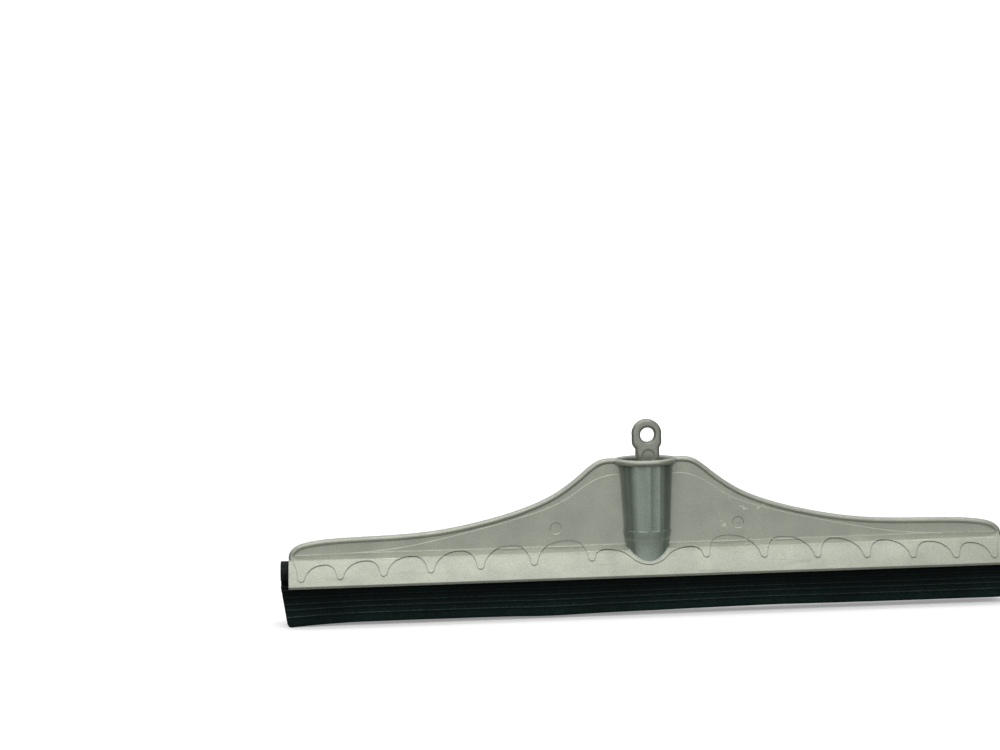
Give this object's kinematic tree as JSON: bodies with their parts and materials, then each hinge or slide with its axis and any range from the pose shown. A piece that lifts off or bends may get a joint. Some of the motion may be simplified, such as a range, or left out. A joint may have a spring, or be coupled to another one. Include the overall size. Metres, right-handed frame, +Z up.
{
  "type": "squeegee head",
  "caption": "Squeegee head: grey plastic moulding with a fluted handle socket, a ribbed double rubber blade in its channel and a loose hanging plug in the socket.",
  "frame": {"origin": "centre of the bounding box's bottom face: on the handle socket's axis, at the level of the rubber blades' lower edges", "axes": "+X along the head, +Y towards the rear face, -Y towards the front face, +Z up along the handle socket's axis"},
  "size_m": [0.4092, 0.0352, 0.1072],
  "materials": {
    "grey_plastic": "semi-gloss moulded",
    "black_rubber": "matt cellular"
  },
  "bodies": {
    "head": {"head_moulding": "grey_plastic"},
    "front_rubber": {"front_blade": "black_rubber"},
    "rear_rubber": {"rear_blade": "black_rubber"},
    "plug": {"hanging_plug": "grey_plastic"}
  },
  "joints": [
    {"name": "front_rubber_slide", "type": "slide", "parent": "head", "child": "front_rubber", "axis": [1, 0, 0], "range_m": [-0.41, 0.41]},
    {"name": "rear_rubber_slide", "type": "slide", "parent": "head", "child": "rear_rubber", "axis": [1, 0, 0], "range_m": [-0.41, 0.41]},
    {"name": "plug_lift", "type": "slide", "parent": "head", "child": "plug", "axis": [0, 0, 1], "range_m": [0, 0.07]}
  ]
}
